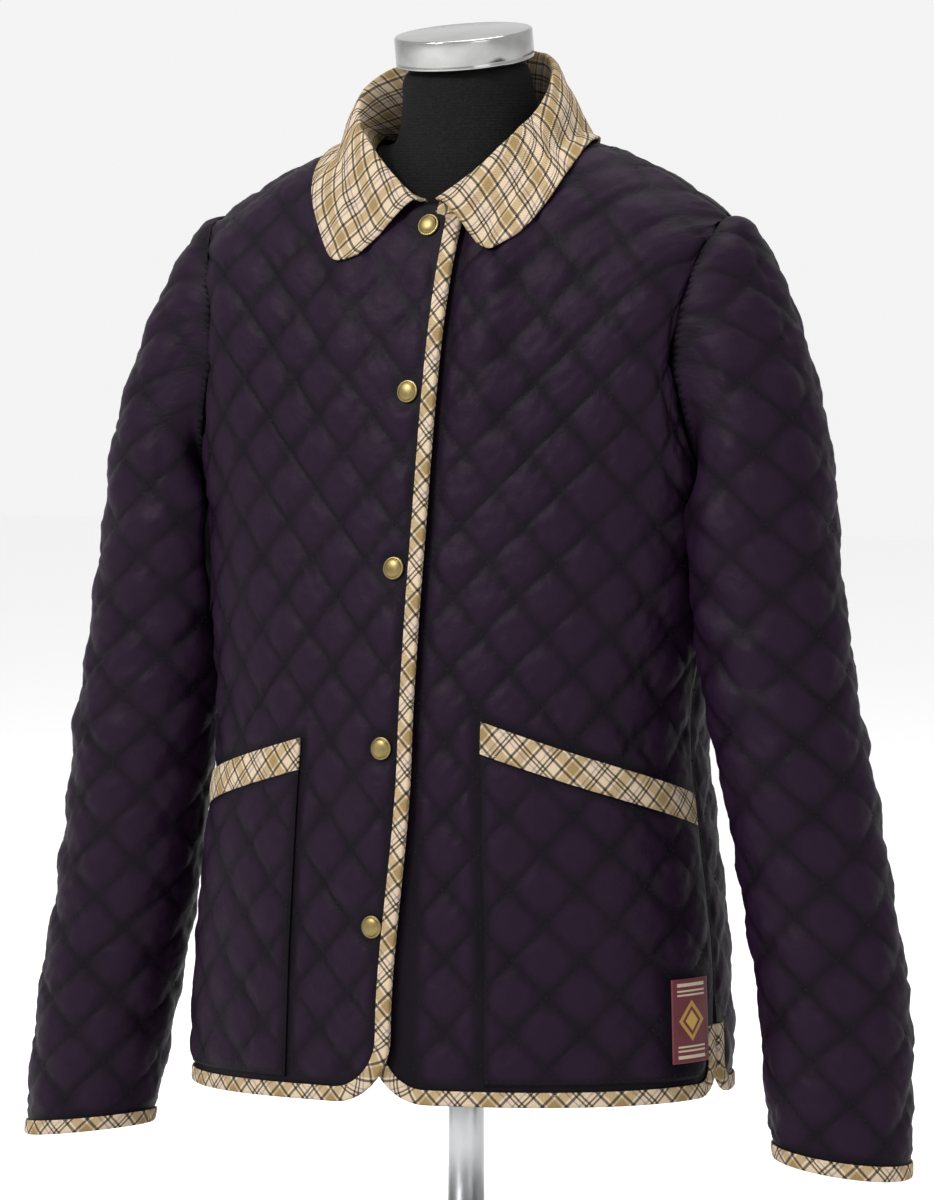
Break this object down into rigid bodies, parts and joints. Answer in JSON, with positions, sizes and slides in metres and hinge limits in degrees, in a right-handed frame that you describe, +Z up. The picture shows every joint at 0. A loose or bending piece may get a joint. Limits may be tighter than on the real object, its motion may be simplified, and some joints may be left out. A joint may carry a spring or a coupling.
{
  "type": "quilted jacket on a dress form",
  "caption": "Diamond-quilted jacket with a plaid collar, patch pockets and brass snaps, closed over a limbless dress form on a round stand.",
  "frame": {"origin": "on the floor under the jacket's centre line, 10 mm in front of the stand's middle", "axes": "+Z up, -Y out of the jacket's front, +X towards the wearer's left"},
  "size_m": [0.6575, 0.3, 0.8236],
  "materials": {
    "quilted": "soft satin polyester, quilted",
    "plaid": "woven cotton, cream plaid",
    "label": "woven maroon patch",
    "brass": "aged brass",
    "jersey": "black knitted jersey",
    "chrome": "polished",
    "steel": "satin"
  },
  "bodies": {
    "root": {"right_front": "quilted", "left_front": "quilted", "back": "quilted", "left_sleeve": "quilted", "right_sleeve": "quilted", "left_pocket": "quilted", "right_pocket": "quilted", "collar": "plaid", "left_pocket_band": "plaid", "right_pocket_band": "plaid", "right_front_binding": "plaid", "left_front_binding": "plaid", "back_binding": "plaid", "left_cuff_binding": "plaid", "right_cuff_binding": "plaid", "label": "label", "snap_1": "brass", "snap_2": "brass", "snap_3": "brass", "snap_4": "brass", "snap_5": "brass", "dress_form": "jersey", "neck_cap": "chrome", "pole": "steel", "base": "steel"}
  },
  "joints": []
}
